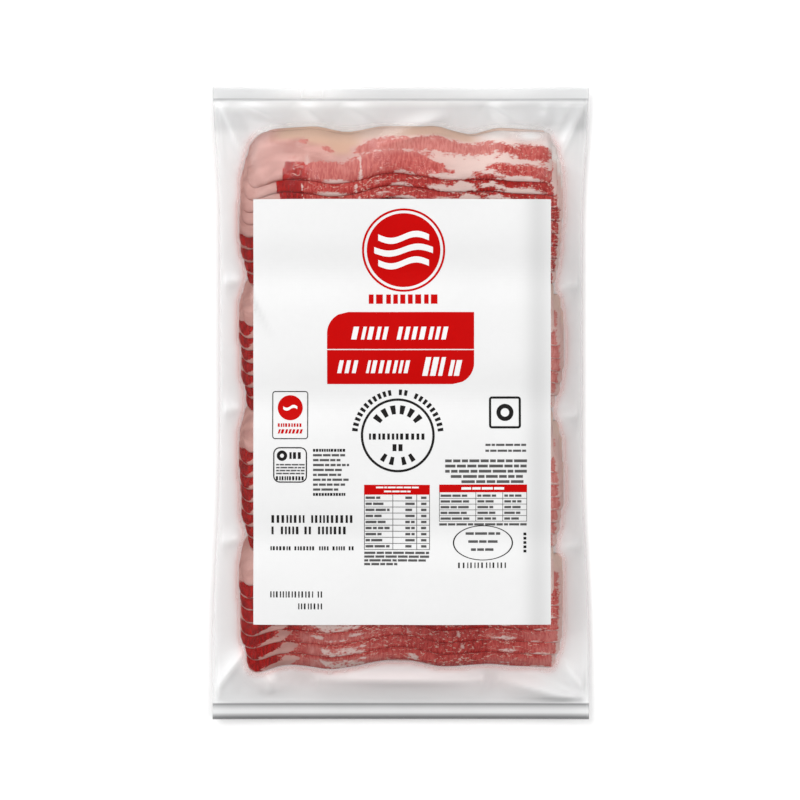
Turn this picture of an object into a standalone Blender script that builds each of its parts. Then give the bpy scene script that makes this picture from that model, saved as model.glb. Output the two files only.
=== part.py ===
"""A shut clear pouch of sliced bacon lying on its back, with a paper label on its face.

X runs across the pack, +Y to its top seal and +Z out of its face. The origin is on the floor, under the
middle of the pack. The pouch is one closed solid out to the film: sealed ends, loose margins, the body
that four shingled stacks of slices push up, and the step of each slice where the label leaves it bare.
"""
import math

import bmesh
import bpy

# The whole pack, in metres
PACK_LENGTH = 0.477
END_WIDTH = 0.2842
WAIST_WIDTH = 0.2738
TOP_SEAL = 0.0091
BOTTOM_SEAL = 0.0130
FILM_EDGE = 0.0010
RIM_LIFT = 0.0040
CORNER_CURL = 0.0022
BODY_HEIGHT = 0.0262
EDGE_HEIGHT = 0.0225
CROWN_POWER = 4
CORNER_POWERS = (4, 6)
POUCH_COLOUR = (0.72, 0.42, 0.38)
POUCH_ROUGHNESS = 0.25

# The four stacks of slices inside
STACKS = 4
FOOD_TOP = 0.2062
FOOD_BOTTOM = -0.1968
FIRST_STRIP = (0.0380, 0.0280, 0.0300, 0.0270)
SLICES = (9, 8, 9, 8)
SLICE_PITCH = 0.0093
SLICE_STEP = 0.0011
STACK_DIP = 0.0022
STACK_DIP_REACH = 0.011
DIP_UNDER_LABEL = 0.25
EDGE_WAVE = 0.0020

# The waves that the slices' edges wander in: radians a metre, start and share of each
WAVES = (
    (47.0, 0.6, 1.0),
    (103.0, 1.9, 0.6),
)

# The margins between the food and the rim: how far in the film climbs to its full height
SIDE_CLIMB = 0.0205
TOP_CLIMB = 0.0290
BOTTOM_CLIMB = 0.0365
TAUTNESS = 1.35
TOP_FLARE = (0.140, 0.2385)
BOTTOM_FLARE = (0.045, 0.180)
BASE_INSET = 0.0150
BASE_RINGS = (0.0040, 0.0090, BASE_INSET)

# The label
LABEL_WIDTH = 0.2232
LABEL_LENGTH = 0.3190
LABEL_CENTRE = (0.0010, -0.0065)
LABEL_THICKNESS = 0.0003
LABEL_GAP = 0.0003
LABEL_BLEND = 0.0050
LABEL_COLOUR = (0.86, 0.86, 0.86)
LABEL_ROUGHNESS = 0.45

# How finely the surfaces are divided
LABEL_COLUMNS = 18
LABEL_ROWS = 26
MARGIN_COLUMNS = 9
STEP_HALF = 0.0006
ROW_SPACING = 0.0065

# Folds of the loose film: where each starts and ends, how wide and how high its crest is
FOLD_START = 0.0060
FOLD_BLUNTNESS = 0.08
FOLDS = (
    ((-0.1330, 0.2210), (-0.1130, 0.1560), 0.0042, 0.0026),
    ((-0.1180, 0.2220), (-0.0860, 0.2060), 0.0050, 0.0016),
    ((0.0180, 0.2160), (0.0450, 0.2240), 0.0050, 0.0022),
    ((0.1340, 0.2220), (0.1130, 0.1700), 0.0045, 0.0026),
    ((0.1060, 0.2230), (0.0800, 0.2080), 0.0050, 0.0018),
    ((-0.1360, -0.2180), (-0.1170, -0.1880), 0.0040, 0.0026),
    ((-0.0540, -0.2140), (0.0320, -0.2150), 0.0046, 0.0020),
    ((0.0760, -0.2040), (0.1330, -0.2230), 0.0050, 0.0026),
)


def clamp(value, low=0.0, high=1.0):
    return max(low, min(high, value))


def ease(value):
    """Smooth step from 0 to 1, level at both ends."""
    t = clamp(value)
    return t * t * t * (t * (6.0 * t - 15.0) + 10.0)


def half_width(y):
    """Half the pack's width: widest at the sealed ends, drawn in along the middle."""
    start, stop = TOP_FLARE if y > 0.0 else BOTTOM_FLARE
    along = clamp((abs(y) - start) / (stop - start))
    flare = 0.5 * along + 0.5 * ease(along)
    return (WAIST_WIDTH + (END_WIDTH - WAIST_WIDTH) * flare) / 2


def stack_edges():
    """For each stack, its top and the lower edges of its slices, from the top seal downwards."""
    lengths = [FIRST_STRIP[k] + (SLICES[k] - 1) * SLICE_PITCH for k in range(STACKS)]
    fit = (FOOD_TOP - FOOD_BOTTOM) / sum(lengths)
    stacks = []
    top = FOOD_TOP
    for k in range(STACKS):
        first = top - FIRST_STRIP[k] * fit
        edges = [first - n * SLICE_PITCH * fit for n in range(SLICES[k])]
        stacks.append((top, edges))
        top = edges[-1]
    return stacks


STACK_LIST = stack_edges()


def edge_wave(x):
    """How far the slices' edges wander up and down the pack."""
    whole = sum(share for _, _, share in WAVES)
    wander = sum(share * math.sin(x * rate + start) for rate, start, share in WAVES)
    return EDGE_WAVE * wander / whole


def label_cover(x, y):
    """1 under the label, 0 clear of it, with a short blend outside its edge."""
    over_x = abs(x - LABEL_CENTRE[0]) - LABEL_WIDTH / 2
    over_y = abs(y - LABEL_CENTRE[1]) - LABEL_LENGTH / 2
    return 1.0 - ease(max(over_x, over_y) / LABEL_BLEND)


def slice_relief(x, y):
    """Saw-tooth of the shingled slices: each strip climbs to its lower edge, then drops to the next."""
    at = y + edge_wave(x)
    for top, edges in STACK_LIST:
        upper = top
        for lower in edges:
            if lower <= at <= upper:
                return SLICE_STEP * ((upper - at) / (upper - lower) - 0.5)
            upper = lower
    return 0.0


def stack_swell(y):
    """Level of the film over the stacks: 0 over the middle of one, dipping where two of them meet."""
    dip = 0.0
    for top, _ in STACK_LIST[1:]:
        dip = max(dip, math.exp(-((y - top) / STACK_DIP_REACH) ** 2))
    return -STACK_DIP * dip


def fold_height(x, y):
    """All folds together: each crest rises and falls along its line and fades beside it."""
    total = 0.0
    for (x0, y0), (x1, y1), width, height in FOLDS:
        dx = x1 - x0
        dy = y1 - y0
        length = math.hypot(dx, dy)
        t = clamp(((x - x0) * dx + (y - y0) * dy) / (length * length))
        off = math.hypot(x - x0 - t * dx, y - y0 - t * dy)
        crest = math.sin(math.pi * (FOLD_BLUNTNESS + (1.0 - 2 * FOLD_BLUNTNESS) * t))
        total += height * crest * math.exp(-(off / width) ** 2)
    return total


def climb(inside, reach):
    """The film's climb from the rim: nearly straight where it is stretched, round at the shoulder."""
    return 1.0 - (1.0 - clamp(inside / reach)) ** TAUTNESS


def film_rise(x, y):
    """0 on the rim and the seals, 1 over the food."""
    side = climb(half_width(y) - abs(x), SIDE_CLIMB)
    from_top = PACK_LENGTH / 2 - TOP_SEAL - y
    top = climb(from_top, TOP_CLIMB + edge_wave(x))
    from_bottom = PACK_LENGTH / 2 - BOTTOM_SEAL + y
    bottom = climb(from_bottom, BOTTOM_CLIMB + edge_wave(x))
    return side * top * bottom


def rim_lift(x, y):
    """Height of the loose rim above the floor, curling up a little at the corners."""
    across, along = CORNER_POWERS
    corner = (abs(x) / half_width(y)) ** across * (abs(y) / (PACK_LENGTH / 2)) ** along
    return RIM_LIFT + CORNER_CURL * corner


def in_seal(y):
    return y > PACK_LENGTH / 2 - TOP_SEAL or y < BOTTOM_SEAL - PACK_LENGTH / 2


def film_height(x, y):
    """Height of the film's outer face above the floor."""
    rim = rim_lift(x, y) + FILM_EDGE
    if in_seal(y):
        return rim
    rise = film_rise(x, y)
    crown = 1.0 - (x / (END_WIDTH / 2)) ** CROWN_POWER
    body = EDGE_HEIGHT + (BODY_HEIGHT - EDGE_HEIGHT) * crown
    bare = 1.0 - label_cover(x, y)
    swell = stack_swell(y) * (DIP_UNDER_LABEL + (1.0 - DIP_UNDER_LABEL) * bare)
    detail = swell + slice_relief(x, y) * bare
    off_rim = ease((half_width(y) - abs(x)) / FOLD_START)
    fold = fold_height(x, y) * bare * off_rim
    return rim + (body - rim) * rise + detail * rise + fold


def row_places():
    """The lines across the pack: seal lines, label ends, both sides of each slice's step, and fill."""
    marks = {-PACK_LENGTH / 2, PACK_LENGTH / 2}
    marks.add(PACK_LENGTH / 2 - TOP_SEAL)
    marks.add(BOTTOM_SEAL - PACK_LENGTH / 2)
    for top, edges in STACK_LIST:
        for edge in edges:
            marks.add(edge + STEP_HALF)
            marks.add(edge - STEP_HALF)
    ordered = sorted(marks)
    places = [ordered[0]]
    for upper in ordered[1:]:
        lower = places[-1]
        parts = max(1, math.ceil((upper - lower) / ROW_SPACING))
        places += [lower + (upper - lower) * n / parts for n in range(1, parts + 1)]
    return places


def column_places(y):
    """The lines along the pack at one row: straight under the label, then spread out to the rim."""
    left = LABEL_CENTRE[0] - LABEL_WIDTH / 2
    right = LABEL_CENTRE[0] + LABEL_WIDTH / 2
    rim = half_width(y)
    outer_left = [-rim + (left + rim) * n / MARGIN_COLUMNS for n in range(MARGIN_COLUMNS)]
    middle = [left + LABEL_WIDTH * n / LABEL_COLUMNS for n in range(LABEL_COLUMNS + 1)]
    outer_right = [right + (rim - right) * n / MARGIN_COLUMNS for n in range(1, MARGIN_COLUMNS + 1)]
    return outer_left + middle + outer_right


def rim_loop(grid):
    """The grid's border points, once round."""
    first = grid[0]
    last = grid[-1]
    right = [row[-1] for row in grid[1:-1]]
    left = [row[0] for row in grid[1:-1]]
    return first + right + last[::-1] + left[::-1]


def finish_object(name, bm, material):
    mesh = bpy.data.meshes.new(name)
    bmesh.ops.recalc_face_normals(bm, faces=bm.faces)
    bm.to_mesh(mesh)
    bm.free()
    mesh.materials.append(material)
    mesh.shade_smooth()
    obj = bpy.data.objects.new(name, mesh)
    bpy.context.collection.objects.link(obj)
    return obj


def finish_material(name, colour, roughness):
    material = bpy.data.materials.new(name)
    material.use_nodes = True
    shader = material.node_tree.nodes["Principled BSDF"]
    shader.inputs["Base Color"].default_value = (*colour, 1.0)
    shader.inputs["Roughness"].default_value = roughness
    shader.inputs["Metallic"].default_value = 0.0
    return material


def make_pouch():
    """Top sheet over the food, a thin edge all round, and a bottom sheet that lies flat on the floor."""
    bm = bmesh.new()
    grid = []
    for y in row_places():
        grid.append([bm.verts.new((x, y, film_height(x, y))) for x in column_places(y)])
    for lower, upper in zip(grid, grid[1:]):
        for n in range(len(lower) - 1):
            bm.faces.new((lower[n], lower[n + 1], upper[n + 1], upper[n]))
    loop = rim_loop(grid)
    rings = [loop]
    rings.append([bm.verts.new((v.co.x, v.co.y, v.co.z - FILM_EDGE)) for v in loop])
    for inset in BASE_RINGS:
        ring = []
        for v in loop:
            x, y, z = v.co
            lift = rim_lift(x, y) * (1.0 - ease(inset / BASE_INSET))
            shrink_x = 1.0 - inset / half_width(y)
            shrink_y = 1.0 - inset / (PACK_LENGTH / 2)
            ring.append(bm.verts.new((x * shrink_x, y * shrink_y, lift)))
        rings.append(ring)
    count = len(loop)
    for outer, inner in zip(rings, rings[1:]):
        for n in range(count):
            m = (n + 1) % count
            bm.faces.new((outer[n], inner[n], inner[m], outer[m]))
    bm.faces.new(rings[-1])
    return finish_object("pouch", bm, finish_material("film_and_bacon", POUCH_COLOUR, POUCH_ROUGHNESS))


def make_label():
    """A sheet of even thickness that follows the film just under it."""
    bm = bmesh.new()
    sheets = []
    for lift in (LABEL_GAP, LABEL_GAP + LABEL_THICKNESS):
        grid = []
        for r in range(LABEL_ROWS + 1):
            y = LABEL_CENTRE[1] + LABEL_LENGTH * (r / LABEL_ROWS - 0.5)
            row = []
            for c in range(LABEL_COLUMNS + 1):
                x = LABEL_CENTRE[0] + LABEL_WIDTH * (c / LABEL_COLUMNS - 0.5)
                row.append(bm.verts.new((x, y, film_height(x, y) + lift)))
            grid.append(row)
        sheets.append(grid)
    for grid in sheets:
        for lower, upper in zip(grid, grid[1:]):
            for n in range(LABEL_COLUMNS):
                bm.faces.new((lower[n], lower[n + 1], upper[n + 1], upper[n]))
    under, over = (rim_loop(grid) for grid in sheets)
    for n in range(len(under)):
        m = (n + 1) % len(under)
        bm.faces.new((under[n], under[m], over[m], over[n]))
    return finish_object("label", bm, finish_material("label_paper", LABEL_COLOUR, LABEL_ROUGHNESS))


for old in list(bpy.data.objects):
    bpy.data.objects.remove(old, do_unlink=True)
make_pouch()
make_label()
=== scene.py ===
import math

import bpy
import numpy as np
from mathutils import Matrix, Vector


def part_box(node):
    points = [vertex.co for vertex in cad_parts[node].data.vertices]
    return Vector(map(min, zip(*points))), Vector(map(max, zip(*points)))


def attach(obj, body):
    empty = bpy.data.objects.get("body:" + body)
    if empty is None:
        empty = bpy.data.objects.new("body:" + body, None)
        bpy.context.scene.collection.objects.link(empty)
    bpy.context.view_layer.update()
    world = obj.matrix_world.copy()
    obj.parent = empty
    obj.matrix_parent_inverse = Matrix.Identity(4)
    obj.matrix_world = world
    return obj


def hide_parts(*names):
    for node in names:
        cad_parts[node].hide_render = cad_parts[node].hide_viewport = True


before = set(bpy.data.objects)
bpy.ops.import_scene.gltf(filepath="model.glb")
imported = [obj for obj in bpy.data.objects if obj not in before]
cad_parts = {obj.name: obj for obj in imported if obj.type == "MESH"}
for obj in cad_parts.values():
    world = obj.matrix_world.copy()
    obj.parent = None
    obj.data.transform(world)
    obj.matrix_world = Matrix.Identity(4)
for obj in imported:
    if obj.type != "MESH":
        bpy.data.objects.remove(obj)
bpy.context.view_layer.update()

# The slices.
# A slab of smoked pork belly is cut across into rashers. Each stack is a run of them laid like tiles, the
# first one on top and the next ones peeping out below it, and two layers of stacks lie in the pouch.
MM = 0.001
pouch_low, pouch_high = (np.array(corner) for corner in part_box("pouch"))
pack_length = pouch_high[1] - pouch_low[1]
slice_length = 0.870 * (pouch_high[0] - pouch_low[0])
food_top = pouch_high[1] - 32.0 * MM
food_bottom = pouch_low[1] + 41.0 * MM
slice_thick = 2.6 * MM
slice_pitch = 9.3 * MM
slice_width = 39.0 * MM

# How far each long side of a rasher bulges outward, by the distance from its left end, in millimetres
RIND_SIDE = ((0, -3.0), (12, -1.5), (30, -0.5), (53, 1.5), (79, -3.0), (106, 1.5), (155, 2.3), (182, -5.3),
             (204, 0.8), (230, -1.5), (247, -2.0))
LEAN_SIDE = ((0, 6.5), (12, 6.0), (24, 1.0), (34, -0.5), (52, 1.0), (68, 3.6), (88, 1.0), (106, -3.8),
             (123, -5.6), (138, -2.5), (153, 1.2), (172, 0.6), (197, -1.0), (222, 1.2), (247, 2.8))
# Steps across one face of a rasher, from its rind side to its lean side
face_steps = 12


def soft_line(at, table, half_window):
    """Reads a short table of values along a line, with its corners rounded off."""
    places, values = zip(*table)
    shifts = np.linspace(-half_window, half_window, 9)
    return np.mean([np.interp(at + shift, places, values) for shift in shifts], axis=0)


def share_of(value):
    return np.clip(value, 0.0, 1.0)


def rise(value, start, length):
    """Climbs straight from 0 at start to 1 a length further on; a negative length climbs the other way."""
    return share_of((value - start) / length)


def hump(value, middle, reach):
    """1 at the middle, and straight down to 0 at the reach on both sides."""
    return share_of(1.0 - np.abs(value - middle) / reach)


def grid_faces(rows, columns, wrap=False):
    """The squares between the points of a grid, row by row; wrap joins its last column to its first."""
    faces = []
    for a in range(0, (rows - 1) * columns, columns):
        for c in range(columns if wrap else columns - 1):
            d = (c + 1) % columns
            faces.append((a + c, a + d, a + columns + d, a + columns + c))
    return faces


def write_field(mesh, name, values):
    """Stores a number or three for each point of a mesh, for its material to read."""
    vector = np.ndim(values) == 2
    layer = mesh.attributes.new(name, "FLOAT_VECTOR" if vector else "FLOAT", "POINT")
    layer.data.foreach_set("vector" if vector else "value", np.asarray(values, dtype=np.float32).ravel())


def rasher_mesh(name, sections, width):
    """One flat rasher: rounded cut edges, and corners that are rounder at its rind side."""
    along = np.linspace(0.0, 1.0, sections)
    along = 0.6 * along + 0.4 * (1.0 - np.cos(np.pi * along)) / 2.0
    x = (along - 0.5) * slice_length
    bulge = float(rise(width, slice_width / 2, slice_width / 2)) * MM
    from_left = (x - x[0]) / MM
    low = -bulge * soft_line(from_left, LEAN_SIDE, 6.0)
    high = width + bulge * soft_line(from_left, RIND_SIDE, 6.0)
    for from_end, radii in ((x - x[0], (17.0, 9.0)), (x[-1] - x, (4.0, 4.0))):
        radii = np.array(radii)[:, None] * MM
        short = np.clip(radii - from_end, 0.0, radii)
        rind_inset, lean_inset = (radii - np.sqrt(radii ** 2 - short ** 2)) * width / slice_width
        high -= rind_inset
        low += lean_inset
    share = (1.0 - np.cos(np.pi * np.arange(face_steps + 1) / face_steps)) / 2.0
    edge_radius = 1.2 * slice_thick
    depth = np.minimum(share, 1.0 - share) * width / edge_radius
    swell = np.sqrt(1.0 - (1.0 - share_of(depth)) ** 2)
    taper = np.ones(sections)
    taper[[0, -1]] = 0.35
    taper[[1, -2]] = 0.80
    points = []
    slab = []
    order = list(range(face_steps + 1)) + list(range(face_steps - 1, 0, -1))
    for s in range(sections):
        for n, k in enumerate(order):
            side = 1.0 if n <= face_steps else -1.0
            y = high[s] + (low[s] - high[s]) * share[k]
            height = swell[k] * taper[s] if side > 0.0 else 0.0
            points.append((x[s], y, (height - 0.5) * slice_thick))
            slab.append((from_left[s], share[k] * width / MM, side))
    around = len(order)
    faces = grid_faces(sections, around, wrap=True)
    for a, turn in ((0, 1), ((sections - 1) * around, -1)):
        for k in range(face_steps):
            cap = dict.fromkeys((a + k, a + (around - k) % around, a + around - k - 1, a + k + 1))
            faces.append(tuple(cap)[::turn])
    mesh = bpy.data.meshes.new(name)
    mesh.from_pydata(points, [], faces)
    write_field(mesh, "slab", slab)
    mesh.update()
    return mesh


def wire(node, inputs):
    """Fills inputs of a node: each with a value, another node's output, or a node for its first output."""
    for key, given in inputs.items():
        if isinstance(given, bpy.types.Node):
            given = given.outputs[0]
        if isinstance(given, bpy.types.NodeSocket):
            node.id_data.links.new(given, node.inputs[key])
        else:
            node.inputs[key].default_value = given
    return node


def add_node(tree, kind, inputs, **settings):
    node = tree.nodes.new(kind)
    for name, value in settings.items():
        setattr(node, name, value)
    return wire(node, inputs)


def calc(operation, first, second, clamp=False):
    """One Math node; each input is a number or another node's output."""
    tree = (first if isinstance(second, float) else second).id_data
    inputs = {0: first, 1: second}
    return add_node(tree, "ShaderNodeMath", inputs, operation=operation, use_clamp=clamp).outputs[0]


def shingle_tree():
    """Lays one rasher again and again down the pack, numbers the cuts, and lets each lie a little askew."""
    tree = bpy.data.node_groups.new("shingled stack", "GeometryNodeTree")
    names = {}
    for label, kind in (
        ("Rasher", "Object"), ("Count", "Int"), ("First Edge", "Float"), ("First Cut", "Float"),
        ("Seed", "Int"),
    ):
        socket = tree.interface.new_socket(label, in_out="INPUT", socket_type="NodeSocket" + kind)
        names[label] = socket.identifier
    tree.interface.new_socket("Stack", in_out="OUTPUT", socket_type="NodeSocketGeometry")
    given = tree.nodes.new("NodeGroupInput").outputs
    start = add_node(tree, "ShaderNodeCombineXYZ", {"Y": given["First Edge"]})
    line = add_node(tree, "GeometryNodeMeshLine", {
        "Count": given["Count"], "Start Location": start, "Offset": (0.0, -shingle_step, 0.0)})
    askew = np.array((0.9, 0.405, 0.0)) * MM
    shift = add_node(tree, "FunctionNodeRandomValue", {
        "Min": -askew, "Max": askew, "Seed": given["Seed"]}, data_type="FLOAT_VECTOR")
    scatter = add_node(tree, "GeometryNodeSetPosition", {"Geometry": line, "Offset": shift})
    rasher = add_node(tree, "GeometryNodeObjectInfo", {0: given["Rasher"]})
    lay = add_node(tree, "GeometryNodeInstanceOnPoints", {
        "Points": scatter, "Instance": rasher.outputs["Geometry"]})
    index = tree.nodes.new("GeometryNodeInputIndex")
    numbered = add_node(tree, "GeometryNodeStoreNamedAttribute", {
        "Geometry": lay, "Name": "cut", "Value": calc("ADD", index, given["First Cut"]),
    }, data_type="FLOAT", domain="INSTANCE")
    real = add_node(tree, "GeometryNodeRealizeInstances", {0: numbered})

    place = add_node(tree, "ShaderNodeSeparateXYZ", {0: tree.nodes.new("GeometryNodeInputPosition")})
    number = add_node(tree, "GeometryNodeInputNamedAttribute", {"Name": "cut"}, data_type="FLOAT")
    waves_across = 16.0
    drift_by_cut = 0.07
    edge_wave = 6.0 * MM
    at = add_node(tree, "ShaderNodeCombineXYZ", {
        "X": calc("MULTIPLY", place.outputs["X"], waves_across),
        "Y": calc("MULTIPLY", number, drift_by_cut), "Z": given["Seed"]})
    noise = add_node(tree, "ShaderNodeTexNoise", {"Vector": at, "Scale": 1.0, "Detail": 1.5})
    centred = calc("SUBTRACT", noise, 0.5)
    offset = add_node(tree, "ShaderNodeCombineXYZ", {"Y": calc("MULTIPLY", centred, edge_wave)})
    wave = add_node(tree, "GeometryNodeSetPosition", {"Geometry": real, "Offset": offset})
    paint = add_node(tree, "GeometryNodeSetMaterial", {"Geometry": wave, "Material": raw_bacon})
    wire(tree.nodes.new("NodeGroupOutput"), {0: paint})
    return tree, names


def grid_sample(values, x, y):
    """Reads a height map at any places, between its cells."""
    fx = np.clip((x - map_x[0]) / map_step, 0.0, len(map_x) - 1.001)
    fy = np.clip((y - map_y[0]) / map_step, 0.0, len(map_y) - 1.001)
    ix, iy = fx.astype(int), fy.astype(int)
    tx, ty = fx - ix, fy - iy
    lower = values[iy, ix] * (1 - tx) + values[iy, ix + 1] * tx
    upper = values[iy + 1, ix] * (1 - tx) + values[iy + 1, ix + 1] * tx
    return lower * (1 - ty) + upper * ty


def blurred(values, sigma):
    """Gaussian blur of a height map, sigma in cells."""
    reach = int(3 * sigma) + 1
    weights = np.exp(-0.5 * (np.arange(-reach, reach + 1) / sigma) ** 2)
    weights /= weights.sum()
    for axis in (0, 1):
        pad = [(0, 0), (0, 0)]
        pad[axis] = (reach, reach)
        wide = np.pad(values, pad, mode="edge")
        size = values.shape[axis]
        values = sum(w * np.take(wide, range(k, k + size), axis=axis) for k, w in enumerate(weights))
    return values


# How long the rashers of a stack are, as a share, and how far they lie to the right, in millimetres, from
# its first to its last
END_DRIFT = ((0.0, 0.93), (0.13, 0.96), (0.28, 0.985), (0.7, 0.985), (1.0, 0.945))
END_SHIFT = ((0.0, -5.0), (0.14, -3.0), (0.3, 0.0), (0.7, 1.0), (1.0, 0.5))


def end_taper(x):
    """Rashers are pressed thinner towards their ends."""
    return 1.0 - 0.34 * rise(np.abs(x) / (slice_length / 2), 0.45, 0.55) ** 2


def drape(mesh, count, sections, heap, top_stack):
    """Lowers the rashers of one stack on the heap, the last cut first, and raises the heap by each."""
    places = np.empty(len(mesh.vertices) * 3, dtype=np.float32)
    mesh.vertices.foreach_get("co", places)
    places = places.reshape(count, sections, 2 * face_steps, 3).astype(float)
    for n in reversed(range(count)):
        rasher = places[n]
        span, shift = 0.90, 1.0
        if sections == face_sections:
            span = float(soft_line(n / (count - 1), END_DRIFT, 0.0))
            shift = float(soft_line(n / (count - 1), END_SHIFT, 0.0)) * (0.1 if top_stack else 1.0)
        rasher[:, :, 0] = rasher[:, :, 0] * span + shift * MM
        x = rasher[:, 0, 0]
        upper = np.interp(map_x, x, rasher[:, 0, 1])
        lower = np.interp(map_x, x, rasher[:, face_steps, 1])
        inside = (map_y[:, None] < upper) & (map_y[:, None] > lower)
        inside &= (map_x > x[0]) & (map_x < x[-1])
        bed = np.maximum(heap, blurred(heap, 1.6))
        base = grid_sample(bed, rasher[:, :, 0], rasher[:, :, 1])
        rasher[:, :, 2] = base + (rasher[:, :, 2] + slice_thick / 2) * end_taper(rasher[:, :, 0])
        heap[inside] = (bed + slice_thick * end_taper(map_x))[inside]
    mesh.vertices.foreach_set("co", places.astype(np.float32).ravel())
    mesh.update()


def new_material(name):
    """A node material with its tree and its Principled shader."""
    material = bpy.data.materials.new(name)
    material.use_nodes = True
    return material, material.node_tree, material.node_tree.nodes["Principled BSDF"]


def ramp(value, low, high):
    """0 below low, 1 above high, smooth between."""
    inputs = {"Value": value, "From Min": low, "From Max": high}
    return add_node(value.id_data, "ShaderNodeMapRange", inputs, interpolation_type="SMOOTHSTEP").outputs[0]


def tint(share, first, second):
    """Mix of two colours; each is three numbers or another node's output."""
    first, second = ((*given, 1.0) if isinstance(given, tuple) else given for given in (first, second))
    inputs = {0: share, 6: first, 7: second}
    return add_node(share.id_data, "ShaderNodeMix", inputs, data_type="RGBA").outputs[2]


def stretched_noise(source, stretch, detail, shift=0.0):
    """Noise on the slab's own coordinates, so that neighbouring cuts show nearly the same marbling."""
    tree = source.id_data
    place = {"Vector": source, "Scale": stretch, "Location": (shift, shift * 0.7, shift * 0.3)}
    mapping = add_node(tree, "ShaderNodeMapping", place)
    noise = add_node(tree, "ShaderNodeTexNoise", {"Vector": mapping, "Scale": 1.0, "Detail": detail})
    return noise.outputs["Fac"]


def read_attribute(tree, name, output="Fac"):
    return add_node(tree, "ShaderNodeAttribute", {}, attribute_name=name).outputs[output]


def bacon_material():
    """Raw smoked belly: beige rind, pink and white fat, and lean that is darker where the cut is wetter and
    where shade is painted into it below the slices' edges.
    """
    material, tree, shader = new_material("raw_bacon")
    place = read_attribute(tree, "grain", "Vector")
    wet_and_shade = read_attribute(tree, "wet_and_shade")
    pale = read_attribute(tree, "pale")
    coarse = stretched_noise(place, (0.035, 0.10, 1.0), 4.0)
    fine = stretched_noise(place, (0.16, 0.34, 1.6), 5.0, 7.0)
    grain = stretched_noise(place, (0.75, 0.20, 3.0), 4.0, 19.0)
    lace = stretched_noise(place, (0.42, 0.80, 2.4), 3.0, 43.0)
    vein_line = stretched_noise(place, (0.11, 0.24, 1.4), 2.5, 31.0)
    # The edge of the lean is frayed by three noises, and soft where the lean is dry
    edge = read_attribute(tree, "lean")
    for noise, fraying in ((coarse, 3.0), (fine, 4.2), (lace, 3.4)):
        edge = calc("ADD", edge, calc("MULTIPLY", calc("SUBTRACT", noise, 0.5), fraying))
    firm = calc("ADD", 1.0, calc("MULTIPLY", calc("MINIMUM", wet_and_shade, 0.0), 0.85))
    lean_share = ramp(calc("MULTIPLY", edge, firm), -0.5, 0.7)
    off_vein = calc("ABSOLUTE", calc("SUBTRACT", vein_line, 0.5), 0.0)
    vein = calc("SUBTRACT", 1.0, ramp(off_vein, 0.007, 0.036))
    for share in (ramp(lace, 0.47, 0.57), lean_share, ramp(wet_and_shade, 0.2, 0.5)):
        vein = calc("MULTIPLY", vein, share)
    vein = calc("SUBTRACT", vein, ramp(wet_and_shade, 0.86, 0.98), True)
    pink = tint(ramp(coarse, 0.35, 0.65), (0.63, 0.34, 0.30), (0.80, 0.49, 0.44))
    fat = tint(read_attribute(tree, "rind"), pink, (0.76, 0.52, 0.40))
    # Paleness over 1 whitens the fat, partly a painted highlight; below 0 it reddens it, partly painted
    # shade
    for operation, number, colour in (
        ("MULTIPLY", 1.0, (0.92, 0.78, 0.73)), ("SUBTRACT", 1.0, (0.96, 0.92, 0.89)),
        ("MULTIPLY", -1.0, (0.60, 0.24, 0.18)),
    ):
        fat = tint(calc(operation, pale, number, True), fat, colour)
    speck = ramp(grain, 0.34, 0.66)
    dry = tint(speck, (0.64, 0.205, 0.185), (0.75, 0.32, 0.28))
    dry = tint(calc("MULTIPLY", wet_and_shade, -1.0, True), dry, (0.74, 0.40, 0.35))
    bright = tint(speck, (0.51, 0.048, 0.042), (0.68, 0.135, 0.115))
    deep = tint(speck, (0.27, 0.003, 0.002), (0.56, 0.010, 0.007))
    lean = tint(calc("MULTIPLY", wet_and_shade, 2.0, True), dry, bright)
    lean = tint(calc("SUBTRACT", calc("MULTIPLY", wet_and_shade, 2.0), 1.0, True), lean, deep)
    meat = tint(lean_share, fat, lean)
    relief = calc("ADD", calc("MULTIPLY", grain, 0.5), fine)
    wire(shader, {
        "Base Color": tint(calc("MULTIPLY", vein, 0.85), meat, (0.84, 0.60, 0.50)),
        "Roughness": add_node(tree, "ShaderNodeMapRange", {"Value": grain, "To Min": 0.36, "To Max": 0.55}),
        "Specular IOR Level": 0.07,
        "Normal": add_node(tree, "ShaderNodeBump", {"Height": relief, "Strength": 0.45, "Distance": 0.0006}),
    })
    return material


# Where the lean runs in the slab, by the distance from the left end in millimetres: the middle and half
# height of the streak under the rind, and the upper edge of the broad lean band, from the rind side. Then
# the fat that lies in the lean, as centre, half length and half height.
STREAK = ((0, 9, -8), (16, 7, -6), (25, 7.8, 0.6), (45, 9.5, 0.9), (60, 12.5, 1.1), (79, 18.0, 1.0),
          (88, 16.5, 2.5), (98, 14.5, 5.0), (130, 14, 5.6), (180, 13.5, 5.4), (205, 14, 4.6), (214, 16, 4.4),
          (228, 17, 6.5), (240, 17.5, 6.0), (247, 18, 3.0))
BAND = ((0, 60), (29, 58), (31, 28), (33, 26), (47, 26), (48.5, 29), (50, 25), (68, 23), (79, 24), (90, 22),
        (121, 20.5), (140, 22.7), (155, 26.5), (168, 32.5), (171, 35), (174, 36.5), (180, 35), (185, 32),
        (197, 28), (208, 26), (223, 25.7), (238, 28.5), (247, 30))
RIND = ((0, 4), (26, 8), (45, 9), (60, 13), (79, 17), (92, 10), (98, 8), (180, 7.5), (200, 9), (236, 10),
        (247, 12))
FAT_SPOTS = ((166, 36.5, 14, 2.2), (222, 37.6, 17, 2.6), (74, 38, 9, 1.3), (48.5, 32, 0.9, 7),
             (92, 31, 1.1, 7.5), (128, 38, 7, 1.4), (196, 33, 5, 1.0), (108, 34.5, 6, 1.0))
LOW_FAT_SPOTS = ((204, 36.5, 7, 2.2), (76, 36, 15, 2.6), (92, 33, 4, 1.6), (62, 34, 5, 1.4),
                 (228, 38, 6, 1.0), (131, 35, 3, 1.6), (237, 31, 4, 0.8))
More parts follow.
